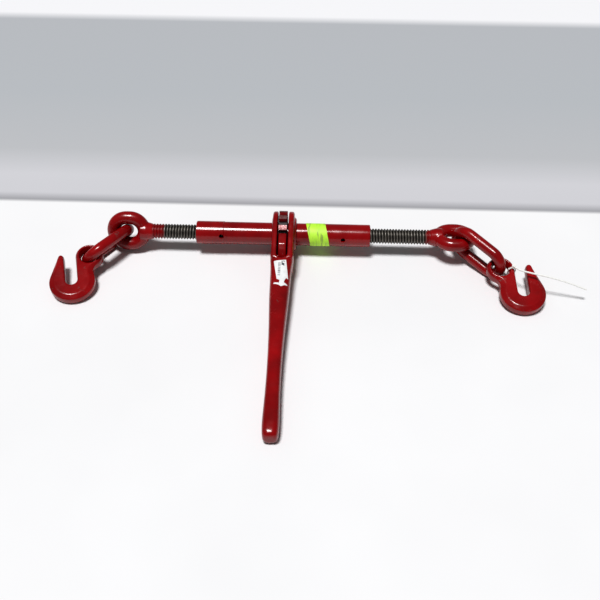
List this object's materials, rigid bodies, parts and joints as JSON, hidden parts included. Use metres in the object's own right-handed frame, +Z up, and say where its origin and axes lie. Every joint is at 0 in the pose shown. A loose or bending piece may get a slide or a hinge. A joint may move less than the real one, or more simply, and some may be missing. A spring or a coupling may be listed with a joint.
{
  "type": "ratchet load binder",
  "caption": "Ratchet chain load binder: a barrel with a swinging handle and pawl, opposed eye screws, and a link with a grab hook on each end.",
  "frame": {"origin": "on the surface the binder lies on, under the middle of its box", "axes": "+X along the barrel towards the screw that is drawn further out, +Y away from the handle's tip, +Z up"},
  "size_m": [0.7566, 0.3897, 0.068],
  "materials": {
    "red_enamel": "glossy red enamel on forged steel, chipped at edges",
    "oiled_thread": "dark oiled steel thread with red enamel next to the eye",
    "worn_gear": "red enamel worn to bare steel on the tooth tips",
    "bare_steel": "plain machined steel",
    "tape": "fluorescent yellow-green marking tape",
    "label": "torn paper label",
    "nylon": "natural nylon"
  },
  "bodies": {
    "barrel": {"barrel_tube": "red_enamel", "ratchet_gear": "worn_gear", "left_thread_insert": "bare_steel", "right_thread_insert": "bare_steel", "marking_tape": "tape"},
    "handle": {"handle": "red_enamel", "pawl_pin": "red_enamel", "detent_plunger": "bare_steel", "detent_spring": "bare_steel", "price_label": "label"},
    "pawl": {"pawl": "red_enamel"},
    "left_washer": {"left_stop_washer": "bare_steel"},
    "right_washer": {"right_stop_washer": "bare_steel"},
    "left_screw": {"left_eye_screw": "oiled_thread"},
    "right_screw": {"right_eye_screw": "oiled_thread"},
    "left_link": {"left_link": "red_enamel"},
    "right_link": {"right_link": "red_enamel"},
    "left_hook": {"left_grab_hook": "red_enamel"},
    "right_hook": {"right_grab_hook": "red_enamel", "cable_tie": "nylon"}
  },
  "joints": [
    {"name": "handle_swing", "type": "hinge", "parent": "barrel", "child": "handle", "pos_m": [-0.05065, 0.16083, 0.034], "axis": [1, 0, 0], "continuous": true},
    {"name": "pawl_flip", "type": "hinge", "parent": "handle", "child": "pawl", "pos_m": [-0.05065, 0.11342, 0.03114], "axis": [1, 0, 0], "range_deg": [0, 9]},
    {"name": "left_screw_travel", "type": "slide", "parent": "barrel", "child": "left_washer", "axis": [1, 0, 0], "range_m": [-0.04658, 0.04234]},
    {"name": "left_screw_turn", "type": "hinge", "parent": "left_washer", "child": "left_screw", "pos_m": [-0.18065, 0.16083, 0.034], "axis": [1, 0, 0], "range_deg": [-3600, 3960]},
    {"name": "left_link_swing", "type": "hinge", "parent": "left_screw", "child": "left_link", "pos_m": [-0.29705, 0.15668, 0.0226], "axis": [0.6066, -0.2719, -0.747], "range_deg": [-10, 32]},
    {"name": "left_hook_swing", "type": "hinge", "parent": "left_link", "child": "left_hook", "pos_m": [-0.32903, 0.11112, 0.02337], "axis": [0.053, -0.216, 0.975], "range_deg": [-110, 95]},
    {"name": "right_screw_travel", "type": "slide", "parent": "barrel", "child": "right_washer", "axis": [1, 0, 0], "range_m": [-0.06351, 0.02541]},
    {"name": "right_screw_turn", "type": "hinge", "parent": "right_washer", "child": "right_screw", "pos_m": [0.07935, 0.16083, 0.034], "axis": [1, 0, 0], "range_deg": [-5400, 2160]},
    {"name": "right_link_swing", "type": "hinge", "parent": "right_screw", "child": "right_link", "pos_m": [0.21687, 0.14721, 0.03591], "axis": [0.6877, 0.7189, -0.101], "range_deg": [-24, 24]},
    {"name": "right_hook_swing", "type": "hinge", "parent": "right_link", "child": "right_hook", "pos_m": [0.26137, 0.1035, 0.0238], "axis": [0.0063, -0.2242, 0.9745], "range_deg": [-100, 60]}
  ],
  "couplings": [
    {"joint": "left_screw_travel", "follows": "left_screw_turn", "m_per_rad": -0.00067375},
    {"joint": "right_screw_travel", "follows": "right_screw_turn", "m_per_rad": 0.00067375}
  ]
}
